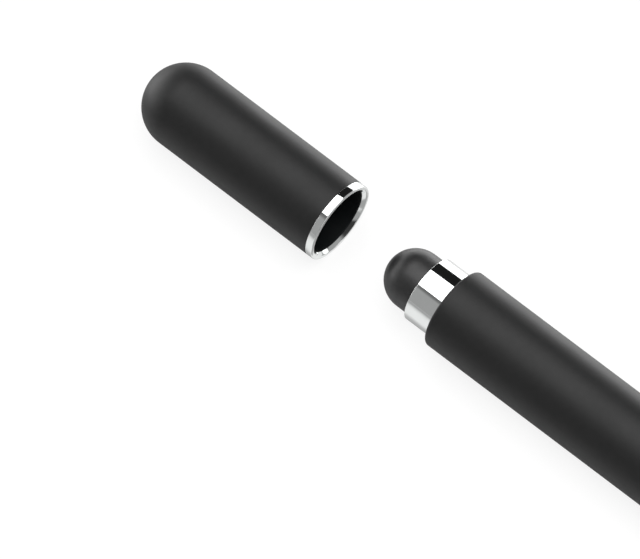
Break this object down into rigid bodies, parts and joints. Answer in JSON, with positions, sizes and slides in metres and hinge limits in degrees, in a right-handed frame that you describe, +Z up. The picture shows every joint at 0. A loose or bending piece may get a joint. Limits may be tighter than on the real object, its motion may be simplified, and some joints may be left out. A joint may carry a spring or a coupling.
{
  "type": "stylus pen",
  "caption": "Slim round stylus pen with a rubber touch tip under a pull-off cap, a swivelling clear disc nib under the rear cap, and bright collars and trim rings.",
  "frame": {"origin": "on the pen's axis, halfway along the barrel", "axes": "+X along the pen's axis from the touch tip towards the rear cap, +Z up"},
  "size_m": [0.1647, 0.009, 0.009],
  "materials": {
    "satin_black": "satin black coat on drawn aluminium",
    "bright_plating": "polished bright plating on turned steel",
    "black_liner": "moulded black plastic",
    "touch_rubber": "smooth black conductive rubber",
    "seal_rubber": "black seal rubber",
    "brass": "turned brass",
    "magnet_nickel": "nickel-plated sintered magnet",
    "needle_steel": "ground steel",
    "clear_plastic": "clear moulded plastic"
  },
  "bodies": {
    "barrel": {"barrel_tube": "satin_black", "front_insert": "brass", "rear_insert": "brass"},
    "front_cap": {"front_cap_shell": "satin_black", "front_cap_ring": "bright_plating", "front_cap_liner": "black_liner"},
    "tip_seal": {"tip_o_ring": "seal_rubber"},
    "tip": {"touch_tip": "touch_rubber", "tip_core": "brass", "tip_collar": "bright_plating", "tip_magnet": "magnet_nickel"},
    "nib_seal": {"nib_o_ring": "seal_rubber"},
    "nib": {"nib_collar": "bright_plating", "nib_magnet": "magnet_nickel", "nib_holder": "bright_plating", "nib_needle": "needle_steel"},
    "disc": {"nib_disc": "clear_plastic", "disc_socket": "needle_steel"},
    "rear_cap": {"rear_cap_shell": "satin_black", "rear_cap_ring": "bright_plating", "rear_cap_liner": "black_liner"}
  },
  "joints": [
    {"name": "front_cap_slide", "type": "slide", "parent": "barrel", "child": "front_cap", "axis": [-1, 0, 0], "range_m": [-0.01472, 0]},
    {"name": "tip_travel", "type": "slide", "parent": "barrel", "child": "tip_seal", "axis": [-1, 0, 0], "range_m": [0, 0.0042]},
    {"name": "tip_turn", "type": "hinge", "parent": "tip_seal", "child": "tip", "pos_m": [-0.05, 0, 0], "axis": [-1, 0, 0], "range_deg": [0, 2160.01]},
    {"name": "nib_travel", "type": "slide", "parent": "barrel", "child": "nib_seal", "axis": [1, 0, 0], "range_m": [0, 0.0042]},
    {"name": "nib_turn", "type": "hinge", "parent": "nib_seal", "child": "nib", "pos_m": [0.05, 0, 0], "axis": [1, 0, 0], "range_deg": [0, 2160.01]},
    {"name": "disc_tilt", "type": "hinge", "parent": "nib", "child": "disc", "pos_m": [0.06088, 0, 0], "axis": [0, 0, 1], "range_deg": [-25, 25]},
    {"name": "rear_cap_slide", "type": "slide", "parent": "barrel", "child": "rear_cap", "axis": [1, 0, 0], "range_m": [0, 0.0195]}
  ],
  "couplings": [
    {"joint": "tip_turn", "follows": "tip_travel", "rad_per_m": 8976},
    {"joint": "nib_turn", "follows": "nib_travel", "rad_per_m": 8976}
  ]
}
